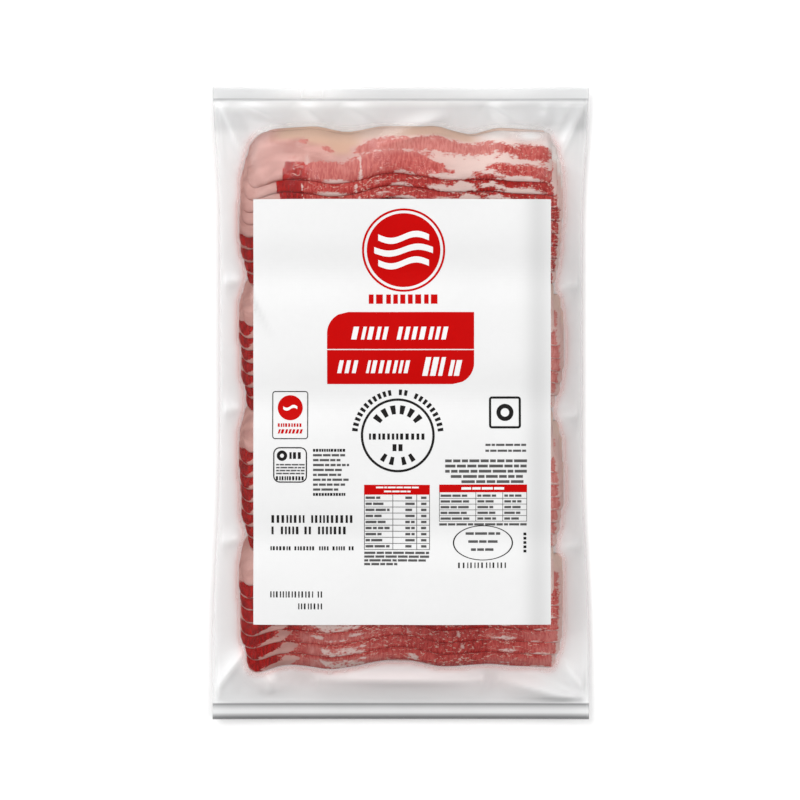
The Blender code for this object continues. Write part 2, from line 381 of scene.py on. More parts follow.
WETNESS = ((0, 0.95), (28, 0.98), (47, 0.95), (52, 0.42), (85, 0.40), (95, 0.48), (120, 0.62), (165, 0.66),
           (180, 0.78), (215, 0.82), (247, 0.60))
# Paleness of the rind and of the fat, by the distance from the left end in millimetres: 1.8 at the rind's
# right end is partly a painted highlight, below 0 at the left ends partly painted shade
RIND_PALENESS = ((0, 0.0), (84, 0.0), (98, 0.5), (118, 0.5), (134, 0.1), (180, 0.1), (200, 1.8), (247, 1.8))
PALENESS = ((0, -1.0), (9, -0.85), (18, -0.45), (30, 0.0), (60, 0.0), (84, 0.35), (150, 0.50), (175, 0.75),
            (200, 0.85), (235, 0.80), (247, 0.55))


def slab_fields(mesh, stack):
    """Writes how lean, how deep red from wetness and painted shade, how pale, with some painted light and
    shade in that too, and how near the rind each point of a stack is. Place is a slice's number in its
    stack, u and v are the distances from its left end and from its rind side, in millimetres."""
    count = len(mesh.vertices)
    slab = np.empty(count * 3, dtype=np.float32)
    mesh.attributes["slab"].data.foreach_get("vector", slab)
    cut = np.empty(count, dtype=np.float32)
    mesh.attributes["cut"].data.foreach_get("value", cut)
    place = cut - np.floor(cut / 100.0) * 100.0
    first, later = rise(place, 1.0, -1.0), rise(place, 0.0, 1.0)
    from_left, v = slab.reshape(-1, 3).astype(float).T[:2]
    u = from_left + 2.5 * np.sin(1.7 * place + 2.0 * stack)

    # Lean: the streak under the rind and the broad band, less the fat in them, and the ends' own marks
    streak_u, streak_middle, streak_half = np.array(STREAK, dtype=float).T
    in_streak = np.interp(u, streak_u, streak_half) - np.abs(v - np.interp(u, streak_u, streak_middle))
    in_streak *= np.where(u < 88.0, 1.4, 0.5)
    lean_edge = np.interp(u, *np.array(BAND, dtype=float).T)
    if stack == 3:
        lean_edge = np.maximum(lean_edge, np.interp(u, (26.0, 33.0, 50.0), (60.0, 39.0, 26.0)))
    lean = np.maximum(in_streak, v - lean_edge)
    if stack == 0:
        lean = np.maximum(lean, 2.2 * (1.0 - np.hypot((u - 36.0) / 6.0, (v - 22.0) / 1.8)))
    else:
        lean = np.where(u > 172.0, np.maximum(lean, v - 27.0 + 2.5 * rise(u, 230.0, 6.0)), lean)
    fleck = np.zeros(count)
    for spot_u, spot_v, half_u, half_v in FAT_SPOTS if stack == 0 else LOW_FAT_SPOTS:
        reach = np.sqrt(((u - spot_u) / half_u) ** 2 + ((v - spot_v) / half_v) ** 2)
        reach /= 1.0 + (0.35 * np.sin(2.1 * place + spot_u) - 0.15 if stack > 0 else 0.0)
        lean = np.minimum(lean, np.maximum((reach - 1.0) * half_v, -1.3 if stack == 0 else -0.5))
        fleck = np.maximum(fleck, rise(reach, 2.2, -1.0))
    if stack > 0:
        wedge_length = 14.0 if stack < 3 else 30.0
        wedge = np.minimum(40.8 - 7.5 * from_left / wedge_length - v, v - 26.0)
        lean = np.where((from_left < wedge_length) & (place > 0.5), np.maximum(lean, wedge), lean)
        at_end = (from_left < 24.0) | ((from_left > 234.0) & (place > 0.5))
        lean = np.where(at_end, np.minimum(lean, 1.3 * (38.1 - v)), lean)
    else:
        end_lean = np.minimum(np.minimum(20.0 - 1.2 * from_left, v - 28.0), 38.2 - v)
        lean = np.where((from_left < 20.0) & (place > 4.5), np.maximum(lean, end_lean), lean)
    lean = np.minimum(lean, np.where(place > 0.5, 244.2 - from_left, 6.0))

    # Painted shade: the dark line along the edge of the slice above, which covers a slice down to here
    covered = 29.6
    crevice_shade = hump(v, covered, 1.3) * later
    crevice_shade *= np.maximum(rise(u, 16.0, 14.0), 0.25) * np.maximum(rise(u, 246.0, -12.0), 0.25)
    lean = np.clip(np.maximum(lean, 4.0 * crevice_shade - 2.0), -6.0, 6.0)

    # Wetness deepens the lean's red: most at the left ends, least in the streak. Painted shade deepens it
    # too, under the edge of the slice above
    wet_and_shade = soft_line(u, WETNESS, 1.0) + 0.012 * (v - 30.0) + 0.07 * np.sin(2.7 * place + 1.3 * stack)
    # Painted shade: each slice darker just under the edge of the slice above
    wet_and_shade += 0.18 * rise(v, 34.5, -5.0) * later
    if stack > 0:
        wet_and_shade += 0.16 * hump(u, 160.0, 45.0)
    # The first slice is lighter than the ones it covers, which are partly painted shade
    wet_and_shade -= (0.30 - 0.14 * np.minimum(hump(u, 38.5, 10.0), 0.2) / 0.2) * first
    wet_and_shade = np.where(v < 22.0, np.where(u > 208.0, 0.40, np.where(u < 86.0, 0.0, -0.7)), wet_and_shade)
    if stack == 3:
        fade = rise(from_left, 24.0, 8.0) * (1.0 - 0.65 * rise(u, 50.0, 10.0))
        wet_and_shade -= 0.24 * np.clip(place - 3.0, 0.0, 3.0) * fade
    if stack > 0:
        paler = 0.26 + (0.40 if stack < 3 else 0.0) * rise(u, 228.0, 8.0)
        wet_and_shade = np.where(u > 190.0, wet_and_shade - paler, wet_and_shade)
        wet_and_shade = np.where(from_left < 20.0, wet_and_shade + 0.1, wet_and_shade)
    # The painted crevice shade also deepens the red along that line
    wet_and_shade = np.maximum(wet_and_shade + 0.25 * rise(v, 37.2, 1.6), 0.9 * crevice_shade)

    # The fat: beige at the rind, whiter to the right, near white at the rind's right end, partly a painted
    # highlight, and reddened at the left ends, partly painted shade where they curl down
    rind = share_of((soft_line(u, RIND, 2.0) - v) / 1.6 + 0.5) * rise(u, 16.0, 14.0)
    pale = soft_line(u, PALENESS, 3.0)
    pale = pale + (soft_line(u, RIND_PALENESS, 3.0) - pale) * rind
    if stack > 0:
        pale = np.minimum(pale, 0.35 + 0.10 * rise(u, 230.0, 8.0))
        pale += first * rise(u, 40.0, -16.0) * (0.75 * rise(v, 17.0, 10.0) - 0.1)
    pale = np.where(rind < 0.1, np.maximum(pale, 0.75 * fleck), pale)
    for name, values in (
        ("lean", lean), ("wet_and_shade", np.clip(wet_and_shade, -1.0, 1.0)), ("rind", rind), ("pale", pale),
        ("grain", np.column_stack((u, v, cut * 0.12 + stack * 17.0))),
    ):
        write_field(mesh, name, values)


# The heap is a height map of what lies in the pouch so far
map_step = 1.5 * MM
map_x = np.arange(-0.150, 0.1501, map_step)
map_y = np.arange(-0.246, 0.2461, map_step)
heap = np.full((len(map_y), len(map_x)), 0.3 * MM)
raw_bacon = bacon_material()

# How much of each stack's first slice shows, and how many slices each stack has
first_strips = (39.0 * MM, 28.0 * MM, 30.0 * MM, 27.0 * MM)
stack_counts = (9, 8, 9, 8)
strip_fit = (food_top - food_bottom) / (sum(first_strips) + slice_pitch * (sum(stack_counts) - 4))
shingle_step = slice_pitch * strip_fit
stack_tree, stack_input = shingle_tree()
stack_tops = []
below = food_top
for strip, count in zip(first_strips, stack_counts):
    stack_tops.append(below)
    below -= (strip + slice_pitch * (count - 1)) * strip_fit
under_sections = 40
face_sections = 92
under_seed = 40
face_seed = 20


def new_object(name, data):
    made = bpy.data.objects.new(name, data)
    bpy.context.scene.collection.objects.link(made)
    return made


def keep_piece(name, mesh, node):
    """Puts a finished mesh in the scene as a piece of the pack."""
    piece = new_object(name, mesh)
    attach(piece, "root")
    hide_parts(node)
    return piece


def lay_stack(name, sections, width, count, first_edge, seed, stack):
    """Makes one stack and lowers it on what lies in the pouch already."""
    source = bpy.data.objects.new(name + "_rasher", rasher_mesh(name + "_rasher", sections, width))
    holder = new_object(name + "_layout", bpy.data.meshes.new(name + "_layout"))
    modifier = holder.modifiers.new("shingles", "NODES")
    modifier.node_group = stack_tree
    for label, value in (
        ("Rasher", source), ("Count", count), ("First Edge", first_edge), ("First Cut", 100.0 * stack),
        ("Seed", seed),
    ):
        modifier[stack_input[label]] = value
    bpy.context.view_layer.update()
    solved = holder.evaluated_get(bpy.context.evaluated_depsgraph_get())
    mesh = bpy.data.meshes.new_from_object(solved)
    mesh.name = name
    bpy.data.objects.remove(holder)
    bpy.data.objects.remove(source)
    drape(mesh, count, sections, heap, stack == 0)
    slab_fields(mesh, stack)
    mesh.shade_smooth()
    keep_piece(name, mesh, "pouch")


under_count = int((food_top - food_bottom - slice_width) / shingle_step) + 1
foot_edge = food_bottom + 3.0 * MM
head_edge = food_top - 5.0 * MM
under_parts = [("run", under_count, foot_edge, slice_width)]
for k in (1, 2, 3):
    under_parts.append((f"foot_{k}", 1, foot_edge, k * shingle_step))
    under_parts.append((f"head_{k}", 1, head_edge - k * shingle_step, k * shingle_step))
for part, count, lowest, width in under_parts:
    first = lowest + shingle_step * (count - 1)
    lay_stack(f"bacon_under_{part}", under_sections, width, count, first, under_seed, len(stack_counts))
for k in reversed(range(len(stack_counts))):
    first = stack_tops[k] - first_strips[k] * strip_fit
    lay_stack(f"bacon_stack_{k + 1}", face_sections, slice_width, stack_counts[k], first, face_seed + k, k)

# The film.
# Two sheets of clear nylon and polythene film, welded across both ends and folded along the sides. The
# face sheet is drawn tight over the slices and runs straight down to the rim, with a few soft folds.
film_step = 1.6 * MM
top_seal = 9.1 * MM
bottom_seal = 12.1 * MM
rim_height = 4.5 * MM
end_half = 142.1 * MM
waist_half = 136.9 * MM


def smooth(value):
    t = share_of(value)
    return t * t * t * (t * (6.0 * t - 15.0) + 10.0)


def half_width(y):
    """Half the pack's width: widest at the sealed ends, drawn in along the middle."""
    flare = np.maximum(rise(y, 0.140, 0.0985), rise(-y, 0.045, 0.135))
    return waist_half + (end_half - waist_half) * 0.5 * (flare + smooth(flare))


film_rows = int(round(pack_length / film_step)) + 1
film_columns = int(round(2 * end_half / film_step)) + 1
row_y = np.linspace(pouch_low[1], pouch_high[1], film_rows)
weld_lines = (pouch_high[1] - top_seal, pouch_low[1] + bottom_seal, pouch_low[1] + MM)
extra_rows = [line + side * 0.55 * MM for line in weld_lines for side in (-1, 1)]
row_y = np.sort(np.concatenate((row_y, extra_rows)))
film_rows = len(row_y)
column_share = np.linspace(-1.0, 1.0, film_columns)
film_x = column_share[None, :] * half_width(row_y)[:, None]
film_y = np.repeat(row_y[:, None], film_columns, axis=1)
rim_z = rim_height + 2.4 * MM * np.abs(column_share[None, :]) ** 4 * (np.abs(film_y) / 0.2385) ** 6
food_z = grid_sample(heap, film_x, film_y)
least_food = 1.0 * MM
has_food = food_z > least_food
lower_bound = np.where(has_food, food_z + 0.25 * MM, 0.6 * MM)

# The film under the label is held flat by it, over a bed without the slices' edges. One crease runs across
# the label's upper left corner.
label_low, label_high = (np.array(corner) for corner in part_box("label"))
label_centre = (label_low[:2] + label_high[:2]) / 2
label_half = (label_high[:2] - label_low[:2]) / 2


def widest(values, cells):
    """The highest value within some cells each way."""
    for axis in (0, 1):
        values = np.max([np.roll(values, shift, axis=axis) for shift in range(-cells, cells + 1)], axis=0)
    return values


flat_bed = blurred(widest(heap, 9), 6.0)
bed_gap = 0.35 * MM
crease_start = np.array((-112.0, 74.0)) * MM
crease_end = np.array((-98.0, 47.0)) * MM
crease_length = np.linalg.norm(crease_end - crease_start)
crease_way = (crease_end - crease_start) / crease_length
from_start = np.stack(np.meshgrid(map_x - crease_start[0], map_y - crease_start[1]), axis=-1)
crease_along = from_start @ crease_way
crease_off = from_start[..., 0] * crease_way[1] - from_start[..., 1] * crease_way[0]
crease_room = rise(crease_along, crease_length, -crease_length) * (crease_along > -20.0 * MM)
flat_bed += 1.1 * MM * crease_room * np.exp(-(crease_off / (2.2 * MM)) ** 2)
label_z = grid_sample(flat_bed, film_x, film_y) + bed_gap
over_label = np.maximum(np.abs(film_x - label_centre[0]) - label_half[0],
                        np.abs(film_y - label_centre[1]) - label_half[1])
under_label = over_label < 2.0 * MM
in_seal = (film_y > weld_lines[0]) | (film_y < weld_lines[1])
fixed = in_seal | (np.abs(column_share)[None, :] > 0.9999)
# Soft folds, from one end to the other and how high they stand, in millimetres from the pack's middle
fold_lines = (
    ((-136, 224), (-116, 178), 6.0), ((-122, 227), (-88, 211), 2.2), ((-76, 227), (-54, 211), 1.8),
    ((-42, 225), (-16, 213), 1.8), ((-18, 195), (34, 217), 3.4), ((68, 225), (96, 206), 3.0),
    ((109, 227), (112, 211), 2.0), ((138, 225), (120, 186), 5.0), ((128, 227), (117, 206), 2.4),
    ((137, 88), (121, 90), 2.5), ((137, -10), (121, -8), 2.5), ((137, -108), (121, -106), 2.5),
    ((-137, 92), (-122, 92), 2.5), ((-137, -5), (-122, -4), 2.5), ((-137, -104), (-122, -103), 2.5),
    ((-141, -219), (-117, -186), 7.0), ((-118, -201), (-100, -203), 4.0), ((-100, -203), (-98, -218), 4.0),
    ((-62, -208), (60, -209), 8.5), ((75, -208), (136, -225), 6.0), ((121, -196), (139, -216), 3.0),
)

# The sheet starts loose, above the slices and the rim, and is pinned at the welds, the rim and the label
film_z = np.where(has_food, np.maximum(lower_bound, 14 * MM), rim_z + 4 * MM)
film_z[under_label] = label_z[under_label]
film_z[fixed] = rim_z[fixed]
pinned = fixed | under_label
pinned_z = film_z.copy()


def neighbour_mean(z):
    """The mean of the four neighbours of each inner point of the sheet."""
    return 0.25 * (z[:-2, 1:-1] + z[2:, 1:-1] + z[1:-1, :-2] + z[1:-1, 2:])


# Pulled tight: each point goes to the mean of its neighbours, but never below what it lies on
for _ in range(500):
    mean = film_z.copy()
    mean[1:-1, 1:-1] = neighbour_mean(film_z)
    film_z = np.maximum(film_z + 0.95 * (mean - film_z), lower_bound)
    film_z[pinned] = pinned_z[pinned]
tight_z = film_z.copy()

# The folds stand on the tight sheet: rounded at their crests and fading out on both sides, in millimetres
fold_spread = 5.0
fold_crest = 2.8
edge_gap = (1.0 - np.abs(column_share)) * half_width(film_y)
edge_gap = np.minimum(edge_gap, np.minimum(weld_lines[0] - film_y, film_y - weld_lines[1]))
fold_room = smooth(edge_gap / (6 * MM)) * smooth((over_label - 2 * MM) / (6 * MM))
for (x0, y0), (x1, y1), height in fold_lines:
    dx, dy = x1 - x0, y1 - y0
    right_of, above = film_x / MM - x0, film_y / MM - y0
    along = (right_of * dx + above * dy) / (dx * dx + dy * dy)
    nearest = share_of(along)
    off = np.hypot(right_of - nearest * dx, above - nearest * dy)
    ridge = np.sin(math.pi * share_of(0.1 + 0.8 * along))
    ridge = ridge * np.exp(-(np.hypot(off, fold_crest) - fold_crest) / fold_spread)
    film_z = np.where(pinned, film_z, film_z + height * MM * ridge * fold_room)


def film_material():
    """Clear glossy film: see-through where it clings to the food, milky where it stands off it. Its
    milkiness also carries painted highlights, and its grey painted shade.
    """
    material, tree, milky = new_material("clear_film")
    place = tree.nodes.new("ShaderNodeTexCoord").outputs["Object"]
    noise = add_node(tree, "ShaderNodeTexNoise", {
        "Vector": place, "Scale": 26.0, "Detail": 3.0, "Distortion": 0.8})
    grey = tint(noise, (0.89, 0.90, 0.905), (0.95, 0.955, 0.96))
    warm = tint(read_attribute(tree, "blush"), grey, (0.70, 0.33, 0.30))
    shaded = tint(read_attribute(tree, "weld_and_shade"), warm, (0.10, 0.10, 0.105))
    rough = calc("ADD", 0.16, calc("MULTIPLY", noise, 0.14))
    bump = add_node(tree, "ShaderNodeBump", {"Height": noise, "Strength": 0.22, "Distance": 0.0020})
    wire(milky, {"Base Color": shaded, "Roughness": rough, "Normal": bump})
    clear = add_node(tree, "ShaderNodeBsdfTransparent", {"Color": (0.99, 0.99, 0.99, 1.0)})
    gloss = add_node(tree, "ShaderNodeBsdfGlossy", {
        "Color": (1.0, 1.0, 1.0, 1.0), "Roughness": 0.15, "Normal": bump})
    fresnel = add_node(tree, "ShaderNodeFresnel", {"IOR": 1.34, "Normal": bump})
    sheen = add_node(tree, "ShaderNodeMixShader", {0: fresnel, 1: clear, 2: gloss})
    whole = add_node(tree, "ShaderNodeMixShader", {0: read_attribute(tree, "haze_light_shade"), 1: sheen, 2: milky})
    wire(tree.nodes["Material Output"], {"Surface": whole})
    return material


# How grey the bottom weld is, by the distance below its upper line in millimetres: the weld's own grey, with
# painted shade of its roll and painted shadows at its upper line and its end
BOTTOM_SHADE = ((-0.8, 0.86), (0.8, 0.86), (1.6, 0.62), (3.0, 0.44), (4.6, 0.22), (6.4, 0.12), (7.6, 0.26),
                (8.8, 0.60), (9.8, 0.96), (12.4, 1.0))


def film_mesh():
    """The face sheet as a grid, and the back sheet as rings in from the same rim to one flat field."""
    points = np.stack((film_x, film_y, film_z), axis=-1).reshape(-1, 3).tolist()
    faces = grid_faces(film_rows, film_columns)
    index = np.arange(film_rows * film_columns).reshape(film_rows, film_columns)
    rim = np.concatenate((index[0], index[1:-1, -1], index[-1, ::-1], index[-2:0:-1, 0])).tolist()
    rings = [rim]
    for inset in (0.0, 2.0, 4.5, 7.5, 11.0, 15.0, 20.0):
        ring = []
        for index in rim:
            x, y, z = points[index]
            keep_x = 1.0 - inset * MM / float(half_width(y))
            keep_y = 1.0 - inset * MM / (pack_length / 2)
            low = (z - 0.3 * MM) * float(1.0 - smooth(inset / 15.0))
            ring.append(len(points))
            points.append((x * keep_x, y * keep_y, low + 0.05 * MM))
        rings.append(ring)
    back = [index for ring in rings for index in ring]
    for a, b, c, d in grid_faces(len(rings), len(rim), wrap=True):
        faces.append((back[a], back[d], back[c], back[b]))
    faces.append(tuple(reversed(rings[-1])))
    mesh = bpy.data.meshes.new("film_envelope")
    mesh.from_pydata(points, [], faces)
    for name, field, rest in zip(("haze_light_shade", "blush", "weld_and_shade"), film_fields(), (0.08, 0.0, 0.0)):
        values = np.full(len(points), rest, dtype=np.float32)
        values[:film_rows * film_columns] = field.ravel()
        write_field(mesh, name, values)
    mesh.materials.append(film_material())
    mesh.shade_smooth()
    mesh.update()
    return mesh


def film_fields():
    """How milky, how pink and how grey the face sheet is at each of its points, with painted light and shade
    of its folds, slopes and welds in them.
    """
    x = film_x / MM
    y = film_y / MM
    cover = np.where(heap > least_food, 1.0, 0.0)
    near, beside, around = (grid_sample(blurred(cover, cells), film_x, film_y) for cells in (1.2, 2.2, 2.6))
    off_food = 1.0 - smooth((near - 0.04) / 0.40)
    top_film = smooth((film_y - food_top + 8 * MM) / (12 * MM))

    # Painted light and shade of the folds, and of the slopes down to the rim, as if lit from the top left
    bend = np.zeros_like(film_z)
    bend[1:-1, 1:-1] = film_z[1:-1, 1:-1] - neighbour_mean(film_z)
    bend /= 0.25 * MM
    fold_y = np.gradient(film_z - tight_z, axis=0) / np.gradient(film_y, axis=0)
    fold_x = np.gradient(film_z - tight_z, axis=1) / np.gradient(film_x, axis=1)
    side_x = np.gradient(tight_z, axis=1) / np.gradient(film_x, axis=1)
    side_gain = 0.55 * (1.0 - 0.85 * smooth((film_y - 0.090) / 0.060) * (film_x > 0.0))
    facing = (0.5 * fold_x - 0.85 * fold_y + side_gain * side_x) * off_food
    lit = share_of(1.1 * facing)
    unlit = share_of(-1.1 * facing)

    # Pink of the food beside and under the film, partly meat juice on it and partly painted red light thrown
    # by the slices, with a painted soft red glow close around the food's rim
    blush = share_of(2.0 * around) * (1.0 - 0.8 * top_film)
    rim_glow = np.exp(-((beside - 0.38) / 0.25) ** 2) * smooth(beside / 0.16) * (1.0 - 0.85 * top_film)
    rim_glow *= 1.0 - smooth((beside - 0.44) / 0.26)
    # A painted highlight by the food's top right corner
    corner_glare = np.exp(-((x - 97.0) / 14.0) ** 2 - ((y - 201.0) / 5.0) ** 2)
    near_weld = 0.45 * np.exp(-share_of(film_y - weld_lines[1]) / (4.0 * MM))
    # Painted light: sides facing the lamp are milkier and so lighter; unlit sides milkier too, to show their
    # painted grey
    haze_light_shade = 0.30 + 0.15 * share_of(bend) + 0.45 * lit + 0.25 * unlit + near_weld + 0.14 * top_film
    haze_light_shade = np.maximum((haze_light_shade + 0.20 * blush ** 2) * off_food, 0.42 * rim_glow)
    haze_light_shade = np.maximum(haze_light_shade, 0.55 * corner_glare)
    below = smooth((film_y - (food_bottom - 26 * MM)) / (20 * MM))
    below = below * (1.0 - smooth((film_y - food_bottom) / (9 * MM)))
    below = below * (1.0 - smooth((np.abs(column_share)[None, :] - 0.66) / 0.2))
    blush = np.maximum(np.maximum(blush, 0.24 * below), 0.9 * rim_glow) * (1.0 - corner_glare)

    # The welds: at the top a thin dark line, a painted shadow at the weld's edge, and a band with two
    # painted glares; at the bottom a roll in painted shade
    glare_reach = (14.0 - 0.035 * (x + 140.0)) * MM
    # Painted shade greys the film above the food, less so just below the top weld
    top_shade = 0.38 * top_film * smooth((weld_lines[0] - film_y) / glare_reach)
    from_top = (film_y - weld_lines[0]) / MM
    from_bottom = (film_y - weld_lines[1]) / MM
    glare = np.exp(-((x + 67.0) / 26.0) ** 2) + 0.5 * np.exp(-((x - 72.0) / 34.0) ** 2)
    half_line = 0.6
    top_band = from_top > half_line
    top_line = np.abs(from_top) < half_line
    top_weld_and_shade = np.where(top_band, 0.27 * (1.0 - 0.9 * glare), 0.0) + 0.62 * top_line
    bottom_weld_and_shade = soft_line(-from_bottom, BOTTOM_SHADE, 0.3) * (from_bottom < 0.3)
    # The grey holds the welds and painted shade: unlit fold sides and slopes, the film above the food and
    # the welds' shadows
    weld_and_shade = share_of(np.maximum(np.maximum(top_weld_and_shade, bottom_weld_and_shade), 0.58 * unlit + top_shade))
    # The painted glares leave the top band clearer and so lighter
    haze_light_shade = np.where(top_band, 0.78 - 0.55 * share_of(glare), haze_light_shade)
    haze_light_shade = np.where(from_bottom < 0.0, 0.85, haze_light_shade)
    haze_light_shade = np.maximum(haze_light_shade, 0.75 * top_line)
    return haze_light_shade, blush, weld_and_shade


keep_piece("film_envelope", film_mesh(), "pouch")

# The label.
# A sheet of smooth white coated paper, printed red and black, stuck on the film over the middle of the
# slices. It is stiffer than the film, so it spans the slices' edges and only follows the stacks' swell.


def paper_finish(name, colour, dark, rough, shaded=1.0):
    """Coated paper or ink on it: a faint mottle in colour and sheen, greyer where "shade" is high."""
    material, tree, shader = new_material(name)
    place = tree.nodes.new("ShaderNodeTexCoord").outputs["Object"]
    mottle = add_node(tree, "ShaderNodeTexNoise", {"Vector": place, "Scale": 180.0, "Detail": 4.0})
    grey = tuple(shaded * value for value in dark)
    wire(shader, {
        "Base Color": tint(read_attribute(tree, "shade"), tint(mottle, colour, dark), grey),
        "Roughness": calc("ADD", rough, calc("MULTIPLY", mottle, 0.10)),
        "Specular IOR Level": 0.05,
        "Normal": add_node(tree, "ShaderNodeBump", {"Height": mottle, "Strength": 0.06, "Distance": 0.0003}),
    })
    return material


label_paper = paper_finish("label_paper", (0.80, 0.80, 0.80), (0.775, 0.775, 0.775), 0.38, 0.84)
paper_lift = 0.20 * MM
paper_thick = 0.20 * MM


def label_height(x, y):
    return grid_sample(flat_bed, x, y) + bed_gap + paper_lift


def sheet_solid(mesh_name, corners, faces, thick, material):
    """Closes a patch that lies on the label into a thin solid, with its face up."""
    count = len(corners)
    edges = dict.fromkeys(edge for face in faces for edge in zip(face, face[1:] + face[:1]))
    points = [(x, y, z - drop) for drop in (0.0, thick) for x, y, z in corners]
    solid = list(faces) + [tuple(count + n for n in reversed(face)) for face in faces]
    solid += [(b, a, count + a, count + b) for a, b in edges if (b, a) not in edges]
    mesh = bpy.data.meshes.new(mesh_name)
    mesh.from_pydata(points, [], solid)
    mesh.materials.append(material)
    mesh.update()
    return mesh


paper_x, paper_y = (np.linspace(middle - half, middle + half, steps + 1)
                    for middle, half, steps in zip(label_centre, label_half, (90, 128)))
grid_x, grid_y = np.meshgrid(paper_x, paper_y)
corners = np.stack((grid_x, grid_y, label_height(grid_x, grid_y)), axis=-1).reshape(-1, 3).tolist()
mesh = sheet_solid("label_sheet", corners, grid_faces(len(paper_y), len(paper_x)), paper_thick, label_paper)

# Grey shade on the paper: where it bends down at the right, and beside the crease
right_shade = np.exp(-((grid_x / MM - 103.0) / 9.0) ** 2)
crease_dip = grid_sample(crease_room * np.exp(-((crease_off / MM + 2.5) / 2.0) ** 2), grid_x, grid_y)
shade = share_of(np.maximum(right_shade, 1.2 * crease_dip)).ravel()
write_field(mesh, "shade", np.tile(shade, 2))
keep_piece("label_sheet", mesh, "label")

# The print.
# Thin layers of red, black, grey and white ink on the label: plain generic shapes, with rows of blocks where
# the words are. Places are in millimetres right of and below the label's top left corner.
ink_lift = {"red": 0.08, "black": 0.09, "grey": 0.09, "white": 0.17}
inks = {ink: ([], []) for ink in ink_lift}
ink_thick = 0.07 * MM
print_left = label_centre[0] - label_half[0]
print_top = label_centre[1] + label_half[1]
patch_step = 6.0
print_random = np.random.default_rng(12)


def patch(ink, across, down, wrap=False):
    """Adds one grid of printed points, rows by columns; wrap joins its last column to its first."""
    corners, faces = inks[ink]
    first = len(corners)
    x = print_left + across * MM
    y = print_top - down * MM
    z = label_height(x, y) + ink_lift[ink] * MM
    corners.extend(np.stack((x, y, z), axis=-1).reshape(-1, 3).tolist())
    for a, b, c, d in grid_faces(*across.shape, wrap):
        faces.append((first + a, first + d, first + c, first + b))


def block(ink, x0, y0, x1, y1, slant=0.0, bend=0.0):
    """A printed bar, upright or leaning; bend arches it."""
    columns = max(2, int(math.ceil((x1 - x0) / patch_step)) + 1, 21 if bend else 2)
    rows = max(2, int(math.ceil((y1 - y0) / patch_step)) + 1)
    across, down = np.meshgrid(np.linspace(x0, x1, columns), np.linspace(y0, y1, rows))
    share = (across - x0) / (x1 - x0)
    patch(ink, across + slant * (y1 - down), down + bend * np.sin(2 * math.pi * share))


def word(ink, x0, y0, x1, y1, letters, slant=0.0, fill=0.62, gaps=()):
    """A row of plain blocks of letter size, some wider and some narrower, with gaps where words part."""
    share = print_random.uniform(0.75, 1.25, letters)
    starts = np.concatenate(([0.0], np.cumsum(share))) * (x1 - x0) / share.sum()
    for n in range(letters):
        if n not in gaps:
            block(ink, x0 + starts[n], y0, x0 + starts[n] + fill * (starts[n + 1] - starts[n]), y1, slant)


def text_line(x0, y0, x1, y1, ink="grey"):
    """One line of small print, as dashes of word length."""
    at = x0
    height = y1 - y0
    while at < x1 - height:
        size = min(float(print_random.uniform(1.6, 5.0)) * height, x1 - at)
        block(ink, at, y0, at + size, y1)
        at += size + 0.5 * height


def band_round(ink, centre, inner, outer, start=0.0, end=360.0, squash=1.0):
    """A ring or a part of one; angles in degrees, clockwise from the right."""
    steps = max(5, int((end - start) / 6.0) + 1)
    whole = end - start >= 360.0
    angle = np.radians(np.linspace(start, end, steps + 1 if whole else steps))
    angle = angle[:-1] if whole else angle
    count = max(2, int(math.ceil((outer - inner) / patch_step)) + 1)
    radius = np.linspace(outer, inner, count)
    patch(ink, centre[0] + radius[:, None] * np.cos(angle),
          centre[1] + squash * radius[:, None] * np.sin(angle), whole)


def frame_line(x0, y0, x1, y1, stroke, radius=0.6):
    """The outline of a box with rounded corners, in seven points a corner and six along each side."""
    inset = stroke + radius
    angle = np.radians(np.concatenate([np.linspace(turn, turn + 90.0, 7) for turn in (0, 90, 180, 270)]))
    corner_x = np.repeat((x1 - inset, x0 + inset, x0 + inset, x1 - inset), 7)
    corner_y = np.repeat((y1 - inset, y1 - inset, y0 + inset, y0 + inset), 7)
    along = np.add.outer((6, 13, 20, 27), np.linspace(0.0, 1.0, 8)[1:-1]).ravel()
    order = np.sort(np.concatenate((np.arange(28), along)))
    across, down = [], []
    for reach in (inset, radius):
        across.append(np.interp(order, np.arange(28), corner_x + reach * np.cos(angle), period=28))
        down.append(np.interp(order, np.arange(28), corner_y + reach * np.sin(angle), period=28))
    patch("black", np.array(across), np.array(down), wrap=True)


# Round emblem: a red disc in a thin ring, crossed by three wavy white stripes
emblem = (112.7, 38.2)
band_round("red", emblem, 29.6, 31.2)
band_round("red", emblem, 0.6, 27.6)
for step, half in ((-9.5, 19.0), (0.0, 22.0), (9.5, 19.0)):
    y = emblem[1] + step
    block("white", emblem[0] - half, y - 2.3, emblem[0] + half, y + 2.3, bend=2.6)
word("red", 86.6, 71.4, 140.6, 78.4, 9, fill=0.66)

